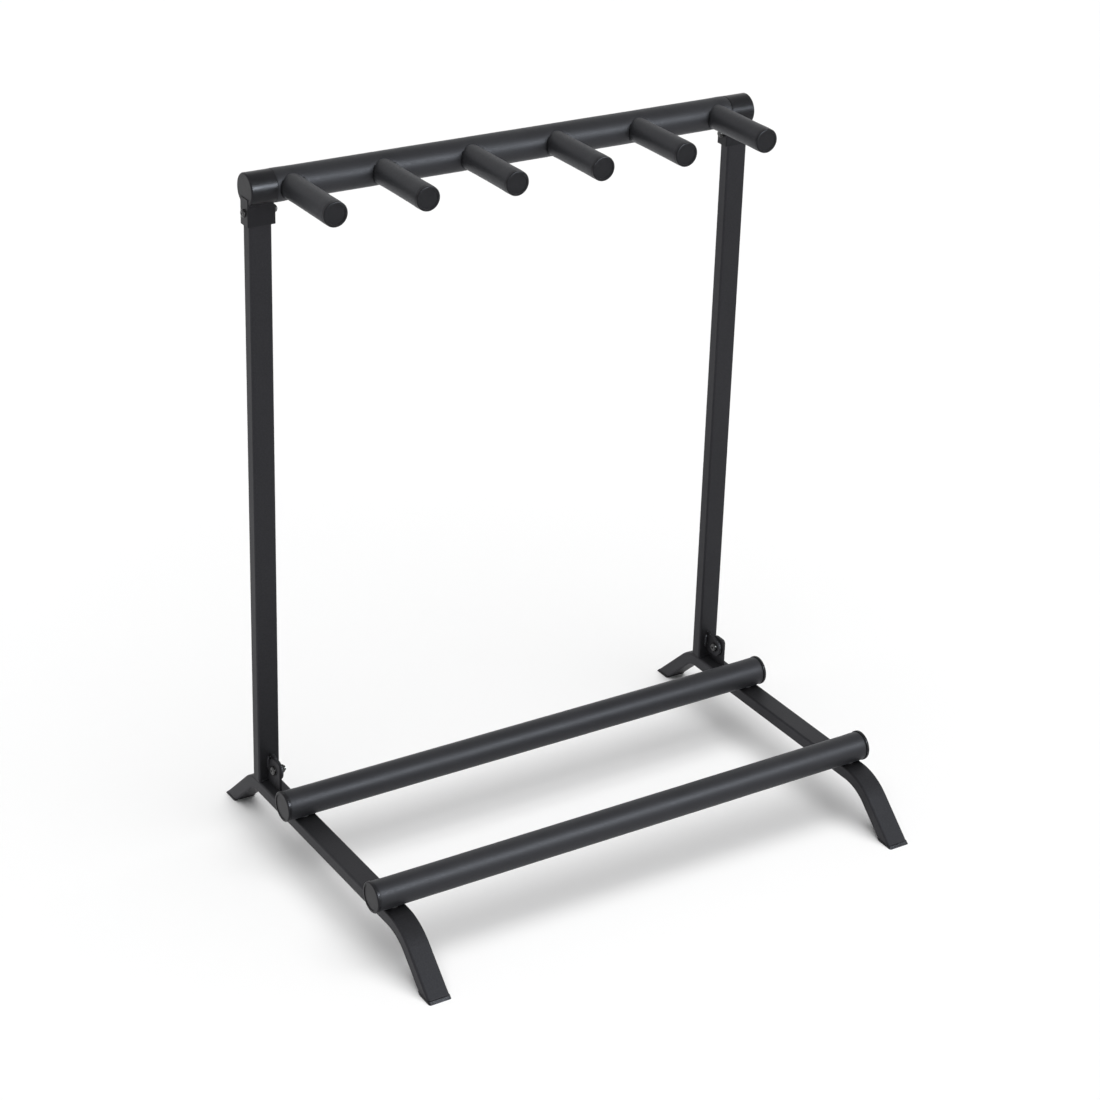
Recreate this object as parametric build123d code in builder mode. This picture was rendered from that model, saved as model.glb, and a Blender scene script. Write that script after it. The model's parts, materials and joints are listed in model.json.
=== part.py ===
"""Folding floor rack for five guitars.

A steel floor frame carries two foam-covered support tubes.  Hinged to it is an upper frame: two
uprights, a foam-covered crossbar and six foam-covered arms that keep the guitar necks apart.

Millimetres.  +X is the rack's right, +Y its back, +Z up.  The origin is on the floor, under the middle
of the whole rack.  The support tubes reach further out on the left than on the right, so the pieces are
drawn around the middle of the two rails and moved over to the origin when they are saved.
"""

from build123d import *
import math
import os

# ---- driving dimensions -------------------------------------------------------------------------
overall_width = 548.8           # over the end caps of the support tubes
overall_depth = 410.0           # over the steel of the feet, front to back
rail_top = 50.9                 # flat top of the rails above the floor
crossbar_height = 649.0         # centre line of the crossbar above the floor
frame_half_width = 267.0        # outer faces of the rails and uprights
fit_gap = 0.1                   # clearance between parts that slide into each other

stock_width = 22.0              # rectangular steel tube of the rails and uprights
stock_depth = 13.0
stock_wall = 1.2
stock_corner = 2.0

front_leg_angle = 42.0          # slope of the bent-down rail ends
rear_leg_angle = 43.0
front_bend_radius = 51.0        # centre-line radii of the two rail bends
rear_bend_radius = 28.0
foot_cap_thickness = 2.2
foot_cap_margin = 0.3           # the cap stands this far proud of the steel
foot_joint = 0.4                # open line between the steel and the sole of the cap

support_front_y = -115.9        # centre lines of the two support tubes
support_rear_y = 58.8
support_offset_x = -3.7         # the middle of the support tubes, from the middle of the rails
support_foam_radius = 14.0
support_tube_radius = 10.0
support_cap_radius = 14.8
support_cap_thickness = 3.0
round_tube_wall = 1.2

upright_front_y = 129.5         # wide front face of the uprights
hinge_y = 115.8                 # fold axis, in front of the uprights
hinge_above_rail = 17.6
hinge_plate = 2.5               # thickness of the two plates of a hinge
hinge_washer = 0.4

crossbar_foam_radius = 15.2
crossbar_tube_radius = 11.0
fitting_outer_x = 268.2         # flat outer end of the top fittings
fitting_inner_x = 242.8         # where a fitting meets the crossbar's foam

arm_count = 6
outer_arm_x = 226.9             # first and last arm, on either side of the middle
arm_reach = 93.0                # crossbar centre line to the tip of an arm
arm_foam_radius = 11.8
arm_tube_radius = 8.0
arm_cap_thickness = 2.6

# ---- derived positions --------------------------------------------------------------------------
sides = {"left": -1, "right": 1}
ends = {"front": -1, "rear": 1}
leg_slope = {-1: math.radians(front_leg_angle), 1: math.radians(rear_leg_angle)}
tube_centre_x = frame_half_width - stock_width / 2
rail_centre_z = rail_top - stock_depth / 2
foot_centre_y = {end: overall_depth / 2 - stock_depth / 2 / math.sin(leg_slope[end]) for end in ends.values()}
support_centre_z = rail_top + support_foam_radius
support_length = overall_width - 2 * support_cap_thickness
upright_y = upright_front_y + stock_depth / 2
hinge_z = rail_top + hinge_above_rail
arm_tip_y = upright_y - arm_reach
arm_pitch = 2 * outer_arm_x / (arm_count - 1)
fitting_outer_reach = 12.9      # side faces of a fitting's box, from the middle of the upright
fitting_inner_reach = 14.3
fitting_bolt_head = 2.5         # height of the bolt heads on the outside of the top fittings
rack_left = support_offset_x - overall_width / 2
rack_right = tube_centre_x + fitting_outer_reach + fitting_bolt_head
rack_middle_x = (rack_left + rack_right) / 2


def save(piece, name):
    """Move a finished piece over to the origin, label it and write it as its own STEP file."""
    piece.move(Location((-rack_middle_x, 0, 0)))
    piece.label = name
    export_step(piece, f"parts/{name}.step")


def stock_outline():
    """Outside of the rectangular tube, in the current sketch."""
    RectangleRounded(stock_width, stock_depth, stock_corner)


def stock_inside(inset=0.0, mode=Mode.ADD):
    """Inside of the rectangular tube, made smaller by `inset` all round, in the current sketch."""
    taken = stock_wall + inset
    RectangleRounded(stock_width - 2 * taken, stock_depth - 2 * taken, stock_corner - stock_wall, mode=mode)


# ---- fasteners ----------------------------------------------------------------------------------
def button_bolt(shank_radius, shank_length, head_radius, head_height):
    """Button-head bolt: the head stands on z = 0 and the shank runs down from it."""
    with BuildPart() as bolt:
        Cylinder(head_radius, head_height, align=(Align.CENTER, Align.CENTER, Align.MIN))
        fillet(bolt.edges().sort_by(Axis.Z)[-1], radius=0.7 * head_height)
        Cylinder(shank_radius, shank_length, align=(Align.CENTER, Align.CENTER, Align.MAX))
        with BuildSketch(Plane.XY.offset(head_height)):
            RegularPolygon(radius=0.6 * shank_radius, side_count=6)
        extrude(amount=-0.6 * head_height, mode=Mode.SUBTRACT)
    return bolt.part


def lock_nut(bore_radius, across_flats, height):
    """Lock nut seated on z = 0: a hexagon with the round collar of its nylon insert on top."""
    with BuildPart() as nut:
        with BuildSketch():
            RegularPolygon(radius=across_flats / 2, side_count=6, major_radius=False)
        extrude(amount=0.7 * height)
        Cylinder(0.46 * across_flats, height, align=(Align.CENTER, Align.CENTER, Align.MIN))
        fillet(nut.edges().sort_by(Axis.Z)[-1], radius=0.15 * height)
        Hole(radius=bore_radius + fit_gap / 2)
    return nut.part


def placed(piece, planes):
    """The same piece once on each plane, as one group of separate solids."""
    with BuildPart() as group:
        with Locations(*[plane.location for plane in planes]):
            add(piece)
    return group.part


# ---- floor frame --------------------------------------------------------------------------------
support_bolt_radius = 3.0
boss_radius = 6.0
boss_height = 7.0               # from the rail up into the support tube
support_places = [(x, y) for x in (-tube_centre_x, tube_centre_x) for y in (support_front_y, support_rear_y)]


def base_rail(side):
    """Rectangular tube, flat in the middle and bent down to a foot at each end."""
    x = side * tube_centre_x
    run_out = stock_width       # the ends start below the floor and are trimmed level
    corner_y = {end: foot_centre_y[end] - rail_centre_z / math.tan(leg_slope[end]) for end in ends.values()}
    low_y = {end: foot_centre_y[end] + run_out / math.tan(leg_slope[end]) for end in ends.values()}
    with BuildPart() as rail:
        with BuildLine(Plane.YZ.offset(x)) as centre_line:
            Polyline(
                (-low_y[-1], -run_out),
                (-corner_y[-1], rail_centre_z),
                (corner_y[1], rail_centre_z),
                (low_y[1], -run_out),
            )
            fillet(centre_line.vertices().sort_by(Axis.Y)[1], radius=front_bend_radius)
            fillet(centre_line.vertices().sort_by(Axis.Y)[-2], radius=rear_bend_radius)
        path = centre_line.wires()[0]
        with BuildSketch(Plane(origin=path @ 0, x_dir=(1, 0, 0), z_dir=path % 0)):
            stock_outline()
            stock_inside(mode=Mode.SUBTRACT)
        sweep(path=path)
        split(bisect_by=Plane.XY.offset(foot_cap_thickness + foot_joint), keep=Keep.TOP)
        with Locations((x, support_front_y, rail_top), (x, support_rear_y, rail_top)):
            Hole(radius=support_bolt_radius + fit_gap)
    return rail.part


def foot_cap(side, end):
    """Moulded cap: a thin sole as wide as the slanted tube end, and a plug up into the tube."""
    x = side * tube_centre_x
    plug_length = 14.0
    y = end * foot_centre_y[end]
    sole_length = stock_depth / math.sin(leg_slope[end]) + 2 * foot_cap_margin
    up_the_leg = Vector(0, -end * math.cos(leg_slope[end]), math.sin(leg_slope[end]))
    leg_end = Plane(origin=(x, y, 0), x_dir=(1, 0, 0), z_dir=up_the_leg)
    with BuildPart() as cap:
        with BuildSketch(leg_end):
            stock_inside(inset=fit_gap)
        extrude(amount=plug_length, both=True)
        split(bisect_by=Plane.XY.offset(foot_cap_thickness), keep=Keep.TOP)
        with BuildSketch(Plane.XY):
            with Locations((x, y)):
                RectangleRounded(stock_width + 2 * foot_cap_margin, sole_length, stock_corner)
        extrude(amount=foot_cap_thickness / math.sin(leg_slope[end]), dir=up_the_leg)
    return cap.part


def sleeve(y, outer_radius, inner_radius):
    """Tube along X over the full support length, cut out underneath around the two bosses."""
    with BuildPart() as tube:
        with BuildSketch(Plane.YZ.offset(support_offset_x - support_length / 2)):
            with Locations((y, support_centre_z)):
                Circle(outer_radius)
                Circle(inner_radius, mode=Mode.SUBTRACT)
        extrude(amount=support_length)
        with BuildSketch(Plane.XY.offset(rail_top)):
            with Locations((-tube_centre_x, y), (tube_centre_x, y)):
                Circle(boss_radius + fit_gap)
        extrude(amount=support_foam_radius, mode=Mode.SUBTRACT)
    return tube.part


def round_cap(face, head_radius, head_thickness, bore_radius, plug_length):
    """Push-in cap for a round tube: a dished head with a rounded rim, and a plug behind it.

    `face` is the plane of the cap's outer face, with its normal pointing away from the tube.
    """
    rim_width = 2.4
    rim_round = 1.2
    dish_depth = 0.6
    with BuildPart() as cap:
        with BuildSketch(face):
            Circle(head_radius)
        extrude(amount=-head_thickness)
        fillet(cap.faces().sort_by(Axis(face.origin, face.z_dir))[-1].edges(), radius=rim_round)
        with BuildSketch(face):
            Circle(head_radius - rim_width)
        extrude(amount=-dish_depth, mode=Mode.SUBTRACT)
        with BuildSketch(face.offset(-head_thickness)):
            Circle(bore_radius - fit_gap)
        extrude(amount=-plug_length)
    return cap.part


def support_bosses():
    """Threaded bosses welded under the support tubes; they stand on the rails."""
    with BuildPart() as bosses:
        with BuildSketch(Plane.XY.offset(rail_top)):
            with Locations(*support_places):
                Circle(boss_radius)
                Circle(support_bolt_radius + fit_gap / 2, mode=Mode.SUBTRACT)
        extrude(amount=boss_height)
    return bosses.part


def support_bolts():
    """Bolts from below, through both walls of the rail and up into a boss."""
    bolt = button_bolt(support_bolt_radius, stock_depth + boss_height + 1.5, head_radius=5.2, head_height=3.3)
    rail_underside = rail_top - stock_depth
    return placed(bolt, [Plane((x, y, rail_underside), z_dir=(0, 0, -1)) for x, y in support_places])


# ---- fold hinge: a tab on the upright lapped against an ear on the rail, outside the tab ---------
# The plates are placed from the middle of the upright outwards.  Both bolts have their head on the left.
left_hinge_inset = 2.1          # the left hinge sits this much further inwards than the right one
tab_outer = 1.0
tab_inner = tab_outer - hinge_plate
ear_inner = tab_outer + hinge_washer
ear_outer = ear_inner + hinge_plate
ear_round = 11.4                # top and back of the ear, round the fold axis
ear_front = 11.5                # straight front edge of the ear, from the fold axis
hinge_bolt_radius = 2.5
running_gap = 0.05              # clearance of the bolt's shank and end in and beside the tab


def hinge_x(side, outwards):
    """X of a place in a hinge, counted outwards from the middle of the upright."""
    inset = left_hinge_inset if side < 0 else 0.0
    return side * (tube_centre_x + outwards - inset)


def hinge_ear(side):
    """Plate welded on the rail, round at the back so the upright can swing."""
    corner_round = 4.0
    back_y = hinge_y + ear_round
    front_y = hinge_y - ear_front
    top_z = hinge_z + ear_round
    with BuildPart() as ear:
        with BuildSketch(Plane.YZ.offset(hinge_x(side, ear_inner))):
            with BuildLine():
                Line((back_y, rail_top), (back_y, hinge_z))
                RadiusArc((back_y, hinge_z), (hinge_y, top_z), radius=-ear_round)
                FilletPolyline(
                    (hinge_y, top_z), (front_y, top_z), (front_y, rail_top), radius=corner_round
                )
                Line((front_y, rail_top), (back_y, rail_top))
            make_face()
            with Locations((hinge_y, hinge_z)):
                Circle(hinge_bolt_radius + fit_gap, mode=Mode.SUBTRACT)
        extrude(amount=side * hinge_plate)
    return ear.part


def hinge_tab(side):
    """Plate with a round nose on the fold axis, held to the upright by a weld bead on its left."""
    nose_radius = 9.5
    root_top = hinge_z + 12.4
    root_bottom = hinge_z - nose_radius
    bead_width = 4.0
    bead_length = 14.0
    bead_height = 1.8
    bead_overlap = 0.4
    left_face = min(hinge_x(side, tab_inner), hinge_x(side, tab_outer))
    bead_x = left_face + bead_overlap - bead_width / 2
    with BuildPart() as tab:
        bead_middle = (bead_x, upright_front_y, hinge_z + 2.0)
        with BuildSketch(Plane(origin=bead_middle, x_dir=(0, 0, 1), z_dir=(0, -1, 0))):
            SlotOverall(bead_length, bead_width)
        extrude(amount=bead_height)
        fillet(tab.edges().group_by(Axis.Y)[0], radius=0.8 * bead_height)
        with BuildSketch(Plane.YZ.offset(hinge_x(side, tab_inner))):
            with BuildLine():
                Polyline(
                    (hinge_y, hinge_z + nose_radius),
                    (upright_front_y, root_top),
                    (upright_front_y, root_bottom),
                    (hinge_y, root_bottom),
                )
                ThreePointArc(
                    (hinge_y, root_bottom), (hinge_y - nose_radius, hinge_z), (hinge_y, hinge_z + nose_radius)
                )
            make_face()
            with Locations((hinge_y, hinge_z)):
                Circle(hinge_bolt_radius + running_gap, mode=Mode.SUBTRACT)
        extrude(amount=side * hinge_plate)
    return tab.part


def hinge_stack(side):
    """Left and right end of the plates that a hinge bolt holds, with its clearance beside the tab."""
    return sorted([hinge_x(side, tab_inner - running_gap), hinge_x(side, ear_outer)])


def hinge_bolts():
    """One bolt through each hinge."""
    grip = ear_outer - tab_inner + running_gap
    bolt = button_bolt(hinge_bolt_radius, grip + 6.0, head_radius=4.75, head_height=2.8)
    return placed(bolt, [
        Plane((hinge_stack(side)[0], hinge_y, hinge_z), z_dir=(-1, 0, 0)) for side in sides.values()
    ])


def hinge_nuts():
    """Lock nuts on the hinge bolts."""
    nut = lock_nut(hinge_bolt_radius, across_flats=8.0, height=5.0)
    return placed(nut, [
        Plane((hinge_stack(side)[1], hinge_y, hinge_z), z_dir=(1, 0, 0)) for side in sides.values()
    ])


def hinge_washers():
    """Thin nylon washers between tab and ear."""
    with BuildPart() as washer:
        Cylinder(5.0, hinge_washer, align=(Align.CENTER, Align.CENTER, Align.MIN))
        Hole(radius=hinge_bolt_radius + running_gap)
    return placed(washer.part, [
        Plane((hinge_x(side, tab_outer), hinge_y, hinge_z), z_dir=(side, 0, 0)) for side in sides.values()
    ])


# ---- upper frame --------------------------------------------------------------------------------
upright_plug_sole = 1.5
upright_bottom = rail_top + fit_gap + upright_plug_sole
upright_top = crossbar_height - 12.3
fitting_bolt_z = crossbar_height - 21.5
fitting_bolt_radius = 2.0
crossbar_socket = 20.5          # depth the crossbar tube goes into a fitting


def upright(side):
    """Rectangular tube from the rail plug up into the top fitting, drilled for the fitting's bolt."""
    with BuildPart() as tube:
        with BuildSketch(Plane.XY.offset(upright_bottom)):
            with Locations((side * tube_centre_x, upright_y)):
                stock_outline()
                stock_inside(mode=Mode.SUBTRACT)
        extrude(amount=upright_top - upright_bottom)
        with BuildSketch(Plane.YZ.offset(side * tube_centre_x)):
            with Locations((upright_y, fitting_bolt_z)):
                Circle(fitting_bolt_radius + fit_gap)
        extrude(amount=stock_width, both=True, mode=Mode.SUBTRACT)
    return tube.part


def upright_plug(side):
    """Moulded plug in the foot of an upright.  Its sole stands on the rail, a little proud of the front."""
    sole_margin = 0.8
    plug_length = 15.0
    with BuildPart() as plug:
        with BuildSketch(Plane.XY.offset(rail_top + fit_gap)):
            with Locations((side * tube_centre_x, upright_y)):
                RectangleRounded(stock_width, stock_depth + 2 * sole_margin, stock_corner)
        extrude(amount=upright_plug_sole)
        fillet(plug.faces().sort_by(Axis.Z)[-1].edges(), radius=0.6)
        with BuildSketch(Plane.XY.offset(upright_bottom)):
            with Locations((side * tube_centre_x, upright_y)):
                stock_inside(inset=fit_gap)
        extrude(amount=plug_length)
    return plug.part


def top_fitting(side):
    """Moulded corner: a round cup for the crossbar on a box for the upright, with thick side walls."""
    x = side * tube_centre_x
    wall = 1.0                  # in front of and behind the upright
    box_bottom = crossbar_height - 33.0
    box_top = crossbar_height - crossbar_foam_radius - 0.3   # just below the crossbar's foam
    neck_top = crossbar_height - crossbar_foam_radius / 2    # the narrower neck runs up into the cup
    box_x = x - side * (fitting_inner_reach - fitting_outer_reach) / 2
    box_depth = stock_depth + 2 * (fit_gap + wall)
    cup_length = fitting_outer_x - fitting_inner_x
    inward = Plane(origin=(side * fitting_outer_x, upright_y, crossbar_height), z_dir=(-side, 0, 0))
    with BuildPart() as fitting:
        with BuildSketch(inward):
            Circle(crossbar_foam_radius)
        extrude(amount=cup_length)
        fillet(fitting.faces().sort_by(Axis.X)[0 if side < 0 else -1].edges(), radius=1.4)
        with BuildSketch(Plane.XY.offset(box_bottom)):
            with Locations((box_x, upright_y)):
                RectangleRounded(fitting_inner_reach + fitting_outer_reach, box_depth, 1.0)
        extrude(amount=box_top - box_bottom)
        with BuildSketch(Plane.XY.offset(box_bottom)):
            with Locations((x, upright_y)):
                RectangleRounded(2 * fitting_outer_reach, box_depth, 1.0)
        extrude(amount=neck_top - box_bottom)
        with BuildSketch(Plane.XY.offset(box_bottom)):
            with Locations((x, upright_y)):
                RectangleRounded(stock_width + 2 * fit_gap, stock_depth + 2 * fit_gap, stock_corner + fit_gap)
        extrude(amount=upright_top + fit_gap - box_bottom, mode=Mode.SUBTRACT)
        with BuildSketch(inward.offset(cup_length)):
            Circle(crossbar_tube_radius + fit_gap / 2)
        extrude(amount=-crossbar_socket, mode=Mode.SUBTRACT)
        with BuildSketch(Plane.YZ.offset(x)):
            with Locations((upright_y, fitting_bolt_z)):
                Circle(fitting_bolt_radius + fit_gap)
        extrude(amount=stock_width, both=True, mode=Mode.SUBTRACT)
    return fitting.part


def fitting_bolts():
    """Cross bolts through the fittings and uprights, heads on the outside."""
    grip = fitting_outer_reach + fitting_inner_reach
    bolt = button_bolt(fitting_bolt_radius, grip + 4.4, head_radius=3.8, head_height=fitting_bolt_head)
    return placed(bolt, [
        Plane((side * (tube_centre_x + fitting_outer_reach), upright_y, fitting_bolt_z), z_dir=(side, 0, 0))
        for side in sides.values()
    ])


def fitting_nuts():
    """Lock nuts on the cross bolts, on the inside."""
    nut = lock_nut(fitting_bolt_radius, across_flats=7.0, height=3.8)
    return placed(nut, [
        Plane((side * (tube_centre_x - fitting_inner_reach), upright_y, fitting_bolt_z), z_dir=(-side, 0, 0))
        for side in sides.values()
    ])


def crossbar_tube():
    """Steel tube inside the crossbar's foam, held in the two fittings."""
    length = 2 * (fitting_inner_x + crossbar_socket - fit_gap)
    with BuildPart() as tube:
        with BuildSketch(Plane.YZ.offset(-length / 2)):
            with Locations((upright_y, crossbar_height)):
                Circle(crossbar_tube_radius)
                Circle(crossbar_tube_radius - round_tube_wall, mode=Mode.SUBTRACT)
        extrude(amount=length)
    return tube.part


def crossbar_foam(arm_positions):
    """Foam sleeve between the two fittings, holed in front where the arms come out."""
    length = 2 * (fitting_inner_x - fit_gap)
    with BuildPart() as foam:
        with BuildSketch(Plane.YZ.offset(-length / 2)):
            with Locations((upright_y, crossbar_height)):
                Circle(crossbar_foam_radius)
                Circle(crossbar_tube_radius + fit_gap, mode=Mode.SUBTRACT)
        extrude(amount=length)
        arm_root = Plane(origin=(0, upright_y, crossbar_height), x_dir=(1, 0, 0), z_dir=(0, -1, 0))
        with BuildSketch(arm_root):
            with Locations(*[(x, 0) for x in arm_positions]):
                Circle(arm_tube_radius + fit_gap)
        extrude(amount=crossbar_foam_radius + 1, mode=Mode.SUBTRACT)
    return foam.part


def arm_sleeve(x, outer_radius, inner_radius, root_radius):
    """Tube from the crossbar forward to the arm's cap, its root coped to a cylinder on the crossbar."""
    with BuildPart() as arm:
        with BuildSketch(Plane(origin=(x, upright_y, crossbar_height), x_dir=(1, 0, 0), z_dir=(0, -1, 0))):
            Circle(outer_radius)
            Circle(inner_radius, mode=Mode.SUBTRACT)
        extrude(amount=arm_reach - arm_cap_thickness)
        with BuildSketch(Plane.YZ.offset(x - outer_radius)):
            with Locations((upright_y, crossbar_height)):
                Circle(root_radius)
        extrude(amount=2 * outer_radius, mode=Mode.SUBTRACT)
    return arm.part


def arm_cap(x):
    """Push-in cap at the tip of an arm."""
    tip = Plane(origin=(x, arm_tip_y, crossbar_height), x_dir=(1, 0, 0), z_dir=(0, -1, 0))
    return round_cap(
        tip, arm_foam_radius, arm_cap_thickness, arm_tube_radius - round_tube_wall, plug_length=12.0
    )


# ---- make and write every piece -----------------------------------------------------------------
os.makedirs("parts", exist_ok=True)

for side_name, side in sides.items():
    save(base_rail(side), f"{side_name}_base_rail")
    save(hinge_ear(side), f"{side_name}_hinge_ear")
    save(hinge_tab(side), f"{side_name}_hinge_tab")
    save(upright(side), f"{side_name}_upright")
    save(upright_plug(side), f"{side_name}_upright_plug")
    save(top_fitting(side), f"{side_name}_top_fitting")
    for end_name, end in ends.items():
        save(foot_cap(side, end), f"{side_name}_{end_name}_foot_cap")

for end_name, y in {"front": support_front_y, "rear": support_rear_y}.items():
    inner_radius = support_tube_radius - round_tube_wall
    save(sleeve(y, support_tube_radius, inner_radius), f"{end_name}_support_tube")
    save(sleeve(y, support_foam_radius, support_tube_radius + fit_gap), f"{end_name}_support_foam")
    for side_name, side in sides.items():
        outer_end = support_offset_x + side * overall_width / 2
        cap_face = Plane(origin=(outer_end, y, support_centre_z), z_dir=(side, 0, 0))
        cap = round_cap(
            cap_face, support_cap_radius, support_cap_thickness, inner_radius, plug_length=3.8
        )
        save(cap, f"{end_name}_support_{side_name}_cap")

save(support_bosses(), "support_tube_bosses")
save(support_bolts(), "support_tube_bolts")
save(hinge_bolts(), "hinge_bolts")
save(hinge_nuts(), "hinge_nuts")
save(hinge_washers(), "hinge_washers")
save(fitting_bolts(), "top_fitting_bolts")
save(fitting_nuts(), "top_fitting_nuts")

arm_positions = [-outer_arm_x + arm_pitch * index for index in range(arm_count)]
save(crossbar_tube(), "crossbar_tube")
save(crossbar_foam(arm_positions), "crossbar_foam")
for number, x in enumerate(arm_positions, start=1):
    save(arm_sleeve(x, arm_tube_radius, arm_tube_radius - round_tube_wall, crossbar_tube_radius),
         f"neck_arm_{number}_tube")
    save(arm_sleeve(x, arm_foam_radius, arm_tube_radius + fit_gap, crossbar_foam_radius + fit_gap),
         f"neck_arm_{number}_foam")
    save(arm_cap(x), f"neck_arm_{number}_cap")
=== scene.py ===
"""Looks of the guitar rack: foam sleeves, materials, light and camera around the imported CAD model.

Metres, in the CAD frame: seen from the front, +X is to the right, +Y to the back and +Z up, and the
floor is z = 0.  Every place and size of the foam comes from the frame, so it always fits its tube.
"""

import json
import math

import bmesh
import bpy
from mathutils import Matrix, Vector, noise


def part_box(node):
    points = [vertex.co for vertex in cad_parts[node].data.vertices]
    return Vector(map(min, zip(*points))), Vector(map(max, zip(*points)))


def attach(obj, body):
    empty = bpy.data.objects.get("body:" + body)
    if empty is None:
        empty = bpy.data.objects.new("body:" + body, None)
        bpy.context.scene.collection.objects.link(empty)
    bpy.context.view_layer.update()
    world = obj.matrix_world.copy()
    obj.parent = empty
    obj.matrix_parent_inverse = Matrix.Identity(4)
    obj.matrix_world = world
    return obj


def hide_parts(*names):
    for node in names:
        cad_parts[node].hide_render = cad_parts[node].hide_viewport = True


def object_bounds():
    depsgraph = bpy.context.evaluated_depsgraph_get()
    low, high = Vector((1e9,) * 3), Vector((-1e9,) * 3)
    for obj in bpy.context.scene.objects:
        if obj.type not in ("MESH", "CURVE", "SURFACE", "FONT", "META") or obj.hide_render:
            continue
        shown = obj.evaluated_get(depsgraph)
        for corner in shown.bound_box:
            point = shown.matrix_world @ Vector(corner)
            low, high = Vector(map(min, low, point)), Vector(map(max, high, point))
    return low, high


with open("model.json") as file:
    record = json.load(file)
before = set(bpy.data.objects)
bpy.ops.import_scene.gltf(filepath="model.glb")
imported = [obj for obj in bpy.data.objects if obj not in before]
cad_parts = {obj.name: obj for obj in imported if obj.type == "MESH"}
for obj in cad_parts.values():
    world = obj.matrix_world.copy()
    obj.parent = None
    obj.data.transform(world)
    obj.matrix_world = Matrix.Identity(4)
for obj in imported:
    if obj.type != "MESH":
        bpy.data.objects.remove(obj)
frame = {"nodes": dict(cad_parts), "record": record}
cad_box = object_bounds()

# ---- driving values -----------------------------------------------------------------------------
mesh_step = 0.0016              # spacing of the points on the foam's skin
lip_steps = 4                   # segments of a rounded foam edge
fit_gap = 0.0001                # between foam and the steel inside it
drill_segments = 48             # sides of a drilled hole
drill_edge = math.radians(50)   # mesh edges sharper than this are shaded as edges

support_lip = 0.0010            # rounding of the foam edge against an end cap
arm_lip = 0.0007
end_swell = 0.00018             # the foam is pushed on, so it swells a little at its ends
end_swell_reach = 0.006         # from the end to where it is thickest
rest_swell = 0.00022            # the underside of the support foam hangs down this much
rest_turn = 0.004               # from a rail's side to where the foam hangs free
dent_depth = 0.0005             # how far an arm's foam presses into the crossbar's foam
dent_width = 0.0022
root_groove = 0.0014            # open ring around an arm's foam, in the crossbar's foam
root_depth = 0.0030             # how deep the arm's foam is let into the crossbar's foam

wave_height = 0.00011           # slow unevenness of the extruded foam
wave_frequency = 26.0
grain_height = 0.000035         # fine unevenness of its skin
grain_frequency = 240.0

camera_place = Vector((-1.2697, -1.9625, 1.4589))
camera_heading = math.radians(33.963)   # turned from +Y towards +X
camera_dip = math.radians(24.693)       # below the horizon
camera_roll = math.radians(2.459)
camera_lens = 91.14                     # millimetres, as the sensor's width
camera_sensor = 36.0
camera_shift_x = -0.0647                # off the lens axis, in widths of the picture
camera_shift_y = -0.0773
camera_near = 0.05                      # nothing nearer than this is drawn

floor_reach = 30.0
wall_light = 1.0                        # brightness of the room as the rack mirrors it
overhead_light = 0.30
wall_top_from = math.radians(36)        # the walls fade into the dim top between these heights
wall_top_to = math.radians(55)
fill_light = 0.17                       # brightness of the room as a light
ceiling_height = 3.0
ceiling_power = 3.05                    # watts per square metre of floor
ceiling_spread = math.radians(74)
ceiling_tilt = math.radians(12)         # from the vertical, towards the front
reflector_place = Vector((0.60, -1.55, 1.22))
reflector_colour = (0.93, 1.0, 0.99)
strip_width = 1.4
strip_height = 0.35
strip_power = 46.0                      # watts, on the foam and the glossy pieces
rail_sheen_power = 16.0                 # watts, on the rails
spot_size = 0.22
spot_power = 30.0                       # watts, on the glossy pieces


# ---- places in the frame ------------------------------------------------------------------------
def middle(node):
    """Centre of a CAD node's box."""
    low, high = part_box(node)
    return (low + high) / 2


def size(node):
    """Size of a CAD node's box along x, y and z."""
    low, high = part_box(node)
    return high - low


sides = ("left", "right")
arm_numbers = range(1, 7)
arm_places = [middle(f"neck_arm_{number}_foam") for number in arm_numbers]
arm_radius = size("neck_arm_1_foam").x / 2
arm_tube_radius = size("neck_arm_1_tube").x / 2
crossbar_centre = middle("crossbar_tube")
crossbar_radius = size("crossbar_foam").z / 2
rail_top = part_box("left_base_rail")[1].z
rail_half_width = size("left_base_rail").x / 2
rail_places = [middle(f"{side}_base_rail").x for side in sides]
boss_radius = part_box("support_tube_bosses")[1].x - rail_places[1]   # a boss stands mid-rail


# ---- mesh building ------------------------------------------------------------------------------
def smoothstep(value):
    """0 below 0, 1 above 1 and a smooth turn between."""
    value = min(1.0, max(0.0, value))
    return value * value * (3.0 - 2.0 * value)


def new_object(name, mesh):
    """Put a mesh into the scene under its name."""
    made = bpy.data.objects.new(name, mesh)
    bpy.context.scene.collection.objects.link(made)
    return made


def ringed_solid(name, rings):
    """A closed solid from rings of points: each joins the next, and the last joins the first."""
    around = len(rings[0])
    points = [point for ring in rings for point in ring]
    faces = []
    for ring in range(len(rings)):
        here = ring * around
        beyond = (ring + 1) % len(rings) * around
        for k in range(around):
            following = (k + 1) % around
            faces.append((here + k, here + following, beyond + following, beyond + k))
    mesh = bpy.data.meshes.new(name)
    mesh.from_pydata(points, [], faces)
    turned = bmesh.new()
    turned.from_mesh(mesh)
    bmesh.ops.recalc_face_normals(turned, faces=turned.faces)
    turned.to_mesh(mesh)
    turned.free()
    mesh.shade_smooth()
    return new_object(name, mesh)


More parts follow.
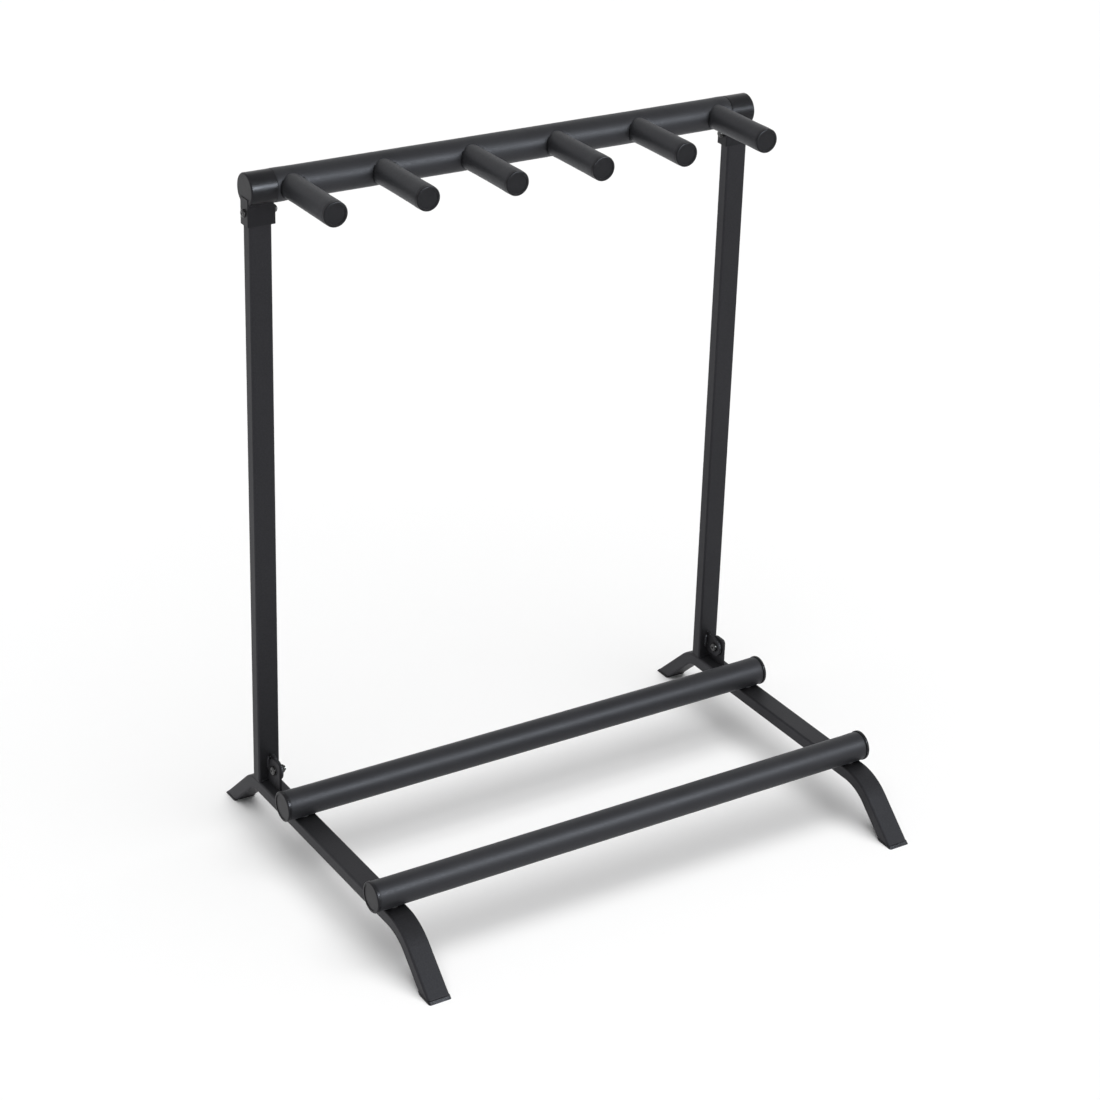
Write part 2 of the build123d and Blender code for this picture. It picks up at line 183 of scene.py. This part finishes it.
def drill(solid, radius, length, places):
    """Cut round holes into a solid; each place is a matrix at a hole's start, +Z along it."""
    cutter_mesh = bmesh.new()
    for place in places:
        bmesh.ops.create_cone(
            cutter_mesh,
            cap_ends=True,
            segments=drill_segments,
            radius1=radius,
            radius2=radius,
            depth=length,
            matrix=place @ Matrix.Translation((0, 0, length / 2)),
        )
    mesh = bpy.data.meshes.new("cutter")
    cutter_mesh.to_mesh(mesh)
    cutter_mesh.free()
    cutter = new_object("cutter", mesh)
    cut = solid.modifiers.new("cut", "BOOLEAN")
    cut.operation = "DIFFERENCE"
    cut.solver = "EXACT"
    cut.object = cutter
    graph = bpy.context.evaluated_depsgraph_get()
    drilled = bpy.data.meshes.new_from_object(solid.evaluated_get(graph))
    solid.modifiers.clear()
    solid.data = drilled
    drilled.shade_smooth()
    drilled.set_sharp_from_angle(angle=drill_edge)
    bpy.data.objects.remove(cutter)


# ---- foam sleeves -------------------------------------------------------------------------------
def unevenness(point):
    """How far the foam's skin stands off its ideal surface at a point."""
    slow = noise.noise(point * wave_frequency)
    fine = noise.noise(point * grain_frequency)
    return wave_height * slow + grain_height * fine


def sleeve_outline(length, radius, bore, lip):
    """Half section of a sleeve from bore to bore, as (distance along, radius, is skin)."""
    corner = [
        (lip - lip * math.cos(turn), radius - lip + lip * math.sin(turn))
        for turn in [math.pi / 2 * step / lip_steps for step in range(lip_steps + 1)]
    ]
    stations = round((length - 2 * lip) / mesh_step)
    straight = [lip + (length - 2 * lip) * k / stations for k in range(1, stations)]
    outline = [(0.0, bore, False)]
    outline += [(along, out, True) for along, out in corner]
    outline += [(along, radius, True) for along in straight]
    outline += [(length - along, out, True) for along, out in reversed(corner)]
    outline += [(length, bore, False)]
    return outline


def foam_sleeve(name, length, radius, bore, lip, place):
    """Foam sleeve as a mesh; `place` turns (distance along, radius, angle, is skin) into a point."""
    around = round(2 * math.pi * radius / mesh_step)
    angles = [2 * math.pi * k / around for k in range(around)]
    rings = [
        [place(along, out, angle, skin) for angle in angles]
        for along, out, skin in sleeve_outline(length, radius, bore, lip)
    ]
    return ringed_solid(name, rings)


def swell_at_ends(along, length):
    """Extra radius near both ends of a sleeve."""
    from_end = min(along, length - along)
    return end_swell * math.exp(-((from_end - end_swell_reach) / end_swell_reach) ** 2)


def support_foam(end):
    """Sleeve of one support tube, flattened where it lies on the rails."""
    node = f"{end}_support_foam"
    centre = middle(f"{end}_support_tube")
    length = size(node).x
    radius = size(node).y / 2
    bore = size(f"{end}_support_tube").y / 2 + fit_gap

    def place(along, out, angle, skin):
        point = Vector((centre.x - length / 2 + along, 0, 0))
        direction = Vector((0, math.cos(angle), math.sin(angle)))
        if skin:
            out += swell_at_ends(along, length) + unevenness(point + centre + out * direction)
            out += rest_swell * smoothstep(-direction.z)
        point += out * direction
        point.y += centre.y
        point.z += centre.z
        beside_rail = min(abs(point.x - x) for x in rail_places) - rail_half_width
        lowest = rail_top + fit_gap / 2 - rest_swell * 2 * smoothstep(beside_rail / rest_turn)
        point.z = max(point.z, lowest)
        return point

    foam = foam_sleeve(f"{end}_support_foam_sleeve", length, radius, bore, support_lip, place)
    foot = rail_top - mesh_step
    bosses = [Matrix.Translation((x, centre.y, foot)) for x in rail_places]
    drill(foam, boss_radius + fit_gap, centre.z - foot, bosses)
    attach(foam, "base_frame")
    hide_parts(node)
    return foam


def crossbar_dent(x, height):
    """Depth of the arms' dents in the crossbar's foam at x, `height` above its centre."""
    depth = 0.0
    for arm in arm_places:
        outside = max(0.0, math.hypot(x - arm.x, height) - arm_radius)
        depth += dent_depth * math.exp(-(outside / dent_width) ** 2)
    return depth


def crossbar_foam():
    """Sleeve of the crossbar, with a dent, a hole and a seat in front for every arm."""
    length = size("crossbar_foam").x
    bore = size("crossbar_tube").z / 2 + fit_gap

    def place(along, out, angle, skin):
        x = crossbar_centre.x - length / 2 + along
        direction = Vector((0, math.cos(angle), math.sin(angle)))
        if skin:
            ideal = Vector((x, crossbar_centre.y, crossbar_centre.z)) + out * direction
            out += swell_at_ends(along, length) + unevenness(ideal)
            if direction.y < 0:
                out -= crossbar_dent(x, out * direction.z)
        return Vector((x, crossbar_centre.y, crossbar_centre.z)) + out * direction

    foam = foam_sleeve("crossbar_foam_sleeve", length, crossbar_radius, bore, support_lip, place)
    forward = Matrix.Rotation(math.radians(90), 4, "X")
    roots = [Matrix.Translation((arm.x, crossbar_centre.y, arm.z)) @ forward for arm in arm_places]
    drill(foam, arm_tube_radius + fit_gap, crossbar_radius + mesh_step, roots)
    seats = [root @ Matrix.Translation((0, 0, crossbar_radius - root_depth)) for root in roots]
    drill(foam, arm_radius + root_groove, root_depth + mesh_step, seats)
    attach(foam, "upper_frame")
    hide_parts("crossbar_foam")
    return foam


def arm_foam(number):
    """Sleeve of one neck arm, from its cap back to its seat in the crossbar's foam."""
    node = f"neck_arm_{number}_foam"
    centre = middle(node)
    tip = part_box(node)[0].y
    length = crossbar_centre.y - crossbar_radius - tip
    bore = arm_tube_radius + fit_gap

    def place(along, out, angle, skin):
        direction = Vector((math.cos(angle), 0, math.sin(angle)))
        if skin:
            ideal = Vector((centre.x, tip + along, centre.z)) + out * direction
            out += swell_at_ends(along, length) + unevenness(ideal)
        across = out * direction
        dented_radius = crossbar_radius - dent_depth + fit_gap
        saddle = math.sqrt(dented_radius ** 2 - across.z ** 2)
        root = crossbar_centre.y - min(saddle, crossbar_radius - root_depth + fit_gap)
        y = tip + along * (root - tip) / length
        return Vector((centre.x + across.x, y, centre.z + across.z))

    foam = foam_sleeve(f"neck_arm_{number}_foam_sleeve", length, arm_radius, bore, arm_lip, place)
    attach(foam, "upper_frame")
    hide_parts(node)
    return foam


# ---- materials ----------------------------------------------------------------------------------
cool_tint = (0.88, 0.88, 1.0, 1.0)      # black finishes mirror slightly blue
noise_roughness = 0.55                  # how much each finer octave of a noise counts


class Shader:
    """A node material under construction: a principled shader and short calls to add nodes."""

    def __init__(self, name):
        self.material = bpy.data.materials.new(name)
        self.material.use_nodes = True
        self.tree = self.material.node_tree
        self.surface = self.tree.nodes["Principled BSDF"]
        self.place = self.add("ShaderNodeTexCoord").outputs["Object"]

    def add(self, kind, **settings):
        node = self.tree.nodes.new(kind)
        for name, value in settings.items():
            setattr(node, name, value)
        return node

    def join(self, source, target):
        self.tree.links.new(source, target)

    def set(self, **values):
        """Plain values on the principled shader, with _ for the spaces in their names."""
        for name, value in values.items():
            self.surface.inputs[name.replace("_", " ")].default_value = value

    def drive(self, colour, roughness):
        """Take the base colour and the roughness from other nodes' outputs."""
        self.join(colour, self.surface.inputs["Base Color"])
        self.join(roughness, self.surface.inputs["Roughness"])

    def noise(self, scale, detail=3.0, place=None):
        """Noise from 0 to 1 with `scale` cells to the metre."""
        node = self.add("ShaderNodeTexNoise")
        node.inputs["Scale"].default_value = scale
        node.inputs["Detail"].default_value = detail
        node.inputs["Roughness"].default_value = noise_roughness
        self.join(place or self.place, node.inputs["Vector"])
        return node.outputs["Fac"]

    def cells(self, scale):
        """Rounded cells, `scale` to the metre: distance from the middle of a cell."""
        node = self.add("ShaderNodeTexVoronoi", feature="SMOOTH_F1")
        node.inputs["Scale"].default_value = scale
        self.join(self.place, node.inputs["Vector"])
        return node.outputs["Distance"]

    def spread(self, value, low, high, low_in=0.3, high_in=0.7):
        """The same value stretched from low_in..high_in to low..high."""
        node = self.add("ShaderNodeMapRange")
        self.join(value, node.inputs["Value"])
        node.inputs["From Min"].default_value = low_in
        node.inputs["From Max"].default_value = high_in
        node.inputs["To Min"].default_value = low
        node.inputs["To Max"].default_value = high
        return node.outputs["Result"]

    def combine(self, operation, first, second):
        """Arithmetic on two values, each a number or another node's output."""
        node = self.add("ShaderNodeMath", operation=operation)
        for socket, value in zip(node.inputs, (first, second)):
            if isinstance(value, (int, float)):
                socket.default_value = value
            else:
                self.join(value, socket)
        return node.outputs["Value"]

    def blend_colours(self, share, first, second):
        """Colour between first (share 0) and second (share 1)."""
        node = self.add("ShaderNodeMix", data_type="RGBA")
        self.join(share, node.inputs["Factor"])
        for socket, colour in ((node.inputs[6], first), (node.inputs[7], second)):
            if isinstance(colour, tuple):
                socket.default_value = (*colour, 1.0)
            else:
                self.join(colour, socket)
        return node.outputs[2]

    def edges(self, radius):
        """1 on convex edges within about `radius`, 0 on flat faces."""
        rounded = self.add("ShaderNodeBevel", samples=4)
        rounded.inputs["Radius"].default_value = radius
        flat = self.add("ShaderNodeNewGeometry").outputs["Normal"]
        likeness = self.add("ShaderNodeVectorMath", operation="DOT_PRODUCT")
        self.join(rounded.outputs["Normal"], likeness.inputs[0])
        self.join(flat, likeness.inputs[1])
        return self.spread(likeness.outputs["Value"], 1.0, 0.0, low_in=0.80, high_in=0.985)

    def bumps(self, *layers):
        """Bump from (height, depth in metres) layers, one on top of the other."""
        below = None
        for height, depth in layers:
            node = self.add("ShaderNodeBump")
            node.inputs["Distance"].default_value = depth
            self.join(height, node.inputs["Height"])
            if below:
                self.join(below, node.inputs["Normal"])
            below = node.outputs["Normal"]
        self.join(below, self.surface.inputs["Normal"])


def foam_material():
    """Black closed-cell foam: a matt skin of small cells, a cool sheen, faint rubbed patches."""
    shader = Shader("foam_skin")
    skin = shader.noise(900.0, detail=4.0)
    patches = shader.noise(18.0, detail=3.0)
    colour = shader.blend_colours(
        shader.spread(patches, 0.0, 1.0), (0.0125, 0.0128, 0.0138), (0.0175, 0.018, 0.0192)
    )
    rough = shader.combine(
        "ADD", shader.spread(skin, 0.44, 0.56), shader.spread(patches, -0.02, 0.03)
    )
    shader.drive(colour, rough)
    shader.set(Specular_IOR_Level=0.34, Sheen_Weight=0.05, Sheen_Roughness=0.35)
    shader.set(Sheen_Tint=(0.80, 0.90, 1.0, 1.0), Specular_Tint=cool_tint)
    shader.bumps(
        (shader.noise(170.0, detail=2.0), 0.00007),
        (shader.cells(1300.0), 0.00005),
        (skin, 0.00005),
    )
    return shader.material


def powder_coat_material():
    """Black fine-textured powder coat, satin, thinner and smoother along the edges, whose lighter
    colour is partly a painted highlight.
    """
    shader = Shader("powder_coat")
    grain = shader.noise(1500.0, detail=3.0)
    speckle = shader.noise(650.0, detail=2.0)
    smudges = shader.noise(14.0, detail=4.0)
    # edge mask: the coat's wear along edges, and partly a painted highlight on the rounded edges
    worn = shader.edges(0.0009)
    dark = shader.blend_colours(
        shader.spread(speckle, 0.0, 1.0), (0.0075, 0.0075, 0.0080), (0.0135, 0.0135, 0.0145)
    )
    # edges painted lighter: partly wear, partly a painted highlight
    colour = shader.blend_colours(
        shader.combine("MULTIPLY", worn, 0.5), dark, (0.035, 0.035, 0.037)
    )
    rough = shader.combine(
        "ADD", shader.spread(smudges, 0.50, 0.57), shader.spread(grain, -0.03, 0.03)
    )
    rough = shader.combine("SUBTRACT", rough, shader.combine("MULTIPLY", worn, 0.06))
    shader.drive(colour, rough)
    shader.set(Specular_IOR_Level=0.36, Specular_Tint=cool_tint)
    shader.bumps((speckle, 0.00005), (grain, 0.00003))
    return shader.material


def plastic_material():
    """Black moulded plastic with a fine spark-eroded texture and slightly polished edges."""
    shader = Shader("moulded_plastic")
    grain = shader.noise(2600.0, detail=2.0)
    cloud = shader.noise(45.0, detail=3.0)
    worn = shader.edges(0.0007)
    colour = shader.blend_colours(worn, (0.0140, 0.0140, 0.0150), (0.026, 0.026, 0.028))
    rough = shader.combine(
        "ADD", shader.spread(cloud, 0.30, 0.38), shader.spread(grain, -0.02, 0.03)
    )
    rough = shader.combine("SUBTRACT", rough, shader.combine("MULTIPLY", worn, 0.08))
    shader.drive(colour, rough)
    shader.set(Specular_IOR_Level=0.15, Specular_Tint=cool_tint)
    shader.bumps((cloud, 0.00006), (grain, 0.00002))
    return shader.material


def fastener_material():
    """Black-oxide steel: dark and metallic, brighter along its rubbed edges."""
    shader = Shader("black_oxide_steel")
    stain = shader.noise(700.0, detail=4.0)
    worn = shader.edges(0.0004)
    base = shader.blend_colours(
        shader.spread(stain, 0.0, 1.0), (0.045, 0.045, 0.047), (0.085, 0.084, 0.084)
    )
    colour = shader.blend_colours(shader.combine("MULTIPLY", worn, 0.8), base, (0.28, 0.28, 0.28))
    shader.drive(colour, shader.spread(stain, 0.20, 0.32))
    shader.set(Metallic=0.85)
    shader.bumps((stain, 0.00001))
    return shader.material


def bare_steel_material():
    """Drawn steel tube, with fine lines along x and a few dull spots."""
    shader = Shader("drawn_steel")
    stretched = shader.add("ShaderNodeMapping")
    stretched.inputs["Scale"].default_value = (0.04, 1.0, 1.0)
    shader.join(shader.place, stretched.inputs["Vector"])
    lines = shader.noise(1800.0, detail=3.0, place=stretched.outputs["Vector"])
    spots = shader.noise(160.0, detail=4.0)
    colour = shader.blend_colours(
        shader.spread(spots, 0.0, 1.0), (0.36, 0.36, 0.37), (0.47, 0.47, 0.48)
    )
    shader.drive(colour, shader.spread(lines, 0.28, 0.44))
    shader.set(Metallic=1.0)
    shader.bumps((lines, 0.000012))
    return shader.material


def nylon_material():
    """Natural nylon: off-white, slightly see-through."""
    shader = Shader("natural_nylon")
    cloud = shader.noise(500.0, detail=3.0)
    colour = shader.blend_colours(cloud, (0.66, 0.65, 0.60), (0.78, 0.77, 0.73))
    shader.drive(colour, shader.spread(cloud, 0.34, 0.44))
    shader.set(Subsurface_Weight=0.2, Subsurface_Scale=0.001)
    shader.bumps((cloud, 0.00001))
    return shader.material


# ---- stage --------------------------------------------------------------------------------------
def floor():
    """Plain pale floor, larger than any view of the rack."""
    mesh = bpy.data.meshes.new("floor")
    quarters = [(-1, -1), (1, -1), (1, 1), (-1, 1)]
    corners = [(floor_reach * x, floor_reach * y, 0) for x, y in quarters]
    mesh.from_pydata(corners, [], [(0, 1, 2, 3)])
    shader = Shader("pale_floor")
    shader.set(Base_Color=(0.90, 0.90, 0.90, 1.0), Roughness=0.9, Specular_IOR_Level=0.1)
    mesh.materials.append(shader.material)
    new_object("floor", mesh)


def pale_room():
    """World that the rack mirrors: bright up to the tops of the walls, dimmer overhead.

    As a light it is only a weak fill, so that the shadows come from the ceiling light.
    """
    world = bpy.data.worlds.new("pale_room")
    world.use_nodes = True
    tree = world.node_tree
    coordinates = tree.nodes.new("ShaderNodeTexCoord")
    direction = tree.nodes.new("ShaderNodeSeparateXYZ")
    walls = tree.nodes.new("ShaderNodeMapRange")
    walls.interpolation_type = "SMOOTHSTEP"
    walls.inputs["From Min"].default_value = math.sin(wall_top_from)
    walls.inputs["From Max"].default_value = math.sin(wall_top_to)
    walls.inputs["To Min"].default_value = wall_light
    walls.inputs["To Max"].default_value = overhead_light
    rays = tree.nodes.new("ShaderNodeLightPath")
    strength = tree.nodes.new("ShaderNodeMix")
    strength.inputs["B"].default_value = fill_light
    tree.links.new(coordinates.outputs["Generated"], direction.inputs["Vector"])
    tree.links.new(direction.outputs["Z"], walls.inputs["Value"])
    tree.links.new(rays.outputs["Is Diffuse Ray"], strength.inputs["Factor"])
    tree.links.new(walls.outputs["Result"], strength.inputs["A"])
    tree.links.new(strength.outputs["Result"], tree.nodes["Background"].inputs["Strength"])
    tree.nodes["Background"].inputs["Color"].default_value = (1.0, 1.0, 1.0, 1.0)
    bpy.context.scene.world = world


def lamp(name, light, place, turn):
    """Put a light into the scene."""
    made = bpy.data.objects.new(name, light)
    made.matrix_world = Matrix.Translation(place) @ turn.to_4x4()
    bpy.context.scene.collection.objects.link(made)
    return made


def ceiling_light():
    """Very wide soft light from above and a little in front, which the rack doesn't mirror.

    It lights the floor evenly and gives the soft contact shadows.
    """
    light = bpy.data.lights.new("ceiling_light", "SUN")
    light.energy = ceiling_power
    light.angle = ceiling_spread
    place = Vector((0, 0, ceiling_height))
    ceiling = lamp("ceiling_light", light, place, Matrix.Rotation(ceiling_tilt, 3, "X"))
    ceiling.visible_glossy = False


def reflector(name, width, height, power, lit):
    """Soft rectangular light in front, which only shows as a sheen on the objects in `lit`."""
    light = bpy.data.lights.new(name, "AREA")
    light.shape = "RECTANGLE"
    light.size = width
    light.size_y = height
    light.energy = power
    light.color = reflector_colour
    towards = (cad_box[0] + cad_box[1]) / 2 - reflector_place
    made = lamp(name, light, reflector_place, towards.to_track_quat("-Z", "Y").to_matrix())
    made.visible_diffuse = False
    made.light_linking.receiver_collection = bpy.data.collections.new(f"lit_by_{name}")
    for thing in lit:
        made.light_linking.receiver_collection.objects.link(thing)


def camera():
    """Camera at the front left, above the crossbar, looking down at the rack."""
    data = bpy.data.cameras.new("camera")
    data.lens = camera_lens
    data.sensor_width = camera_sensor
    data.shift_x = camera_shift_x
    data.shift_y = camera_shift_y
    data.clip_start = camera_near
    made = bpy.data.objects.new("camera", data)
    made.matrix_world = (
        Matrix.Translation(camera_place)
        @ Matrix.Rotation(-camera_heading, 4, "Z")
        @ Matrix.Rotation(math.pi / 2 - camera_dip, 4, "X")
        @ Matrix.Rotation(camera_roll, 4, "Z")
    )
    bpy.context.scene.collection.objects.link(made)
    bpy.context.scene.camera = made


# ---- put it together ----------------------------------------------------------------------------
materials = {
    "powder_coated_steel": powder_coat_material(),
    "foam_sleeve": foam_material(),
    "moulded_plastic": plastic_material(),
    "black_fastener": fastener_material(),
    "bare_steel_tube": bare_steel_material(),
    "nylon": nylon_material(),
}

glossy_pieces = [frame["nodes"][f"{side}_hinge_tab"] for side in sides]
for part in frame["record"]["subparts"]:
    piece = frame["nodes"][part["node"]]
    for slot in piece.material_slots:
        slot.material = materials[part["material_slot"]]
    if part["material_slot"] in ("moulded_plastic", "black_fastener"):
        glossy_pieces.append(piece)

sleeves = [support_foam("front"), support_foam("rear"), crossbar_foam()]
sleeves += [arm_foam(number) for number in arm_numbers]
for sleeve in sleeves:
    sleeve.data.materials.clear()
    sleeve.data.materials.append(materials["foam_sleeve"])

floor()
pale_room()
ceiling_light()
rails = [frame["nodes"][f"{side}_base_rail"] for side in sides]
reflector("front_strip", strip_width, strip_height, strip_power, sleeves + glossy_pieces)
reflector("rail_sheen", strip_width, strip_height, rail_sheen_power, rails)
reflector("front_spot", spot_size, spot_size, spot_power, glossy_pieces)
camera()
bpy.context.scene.view_settings.view_transform = "Standard"
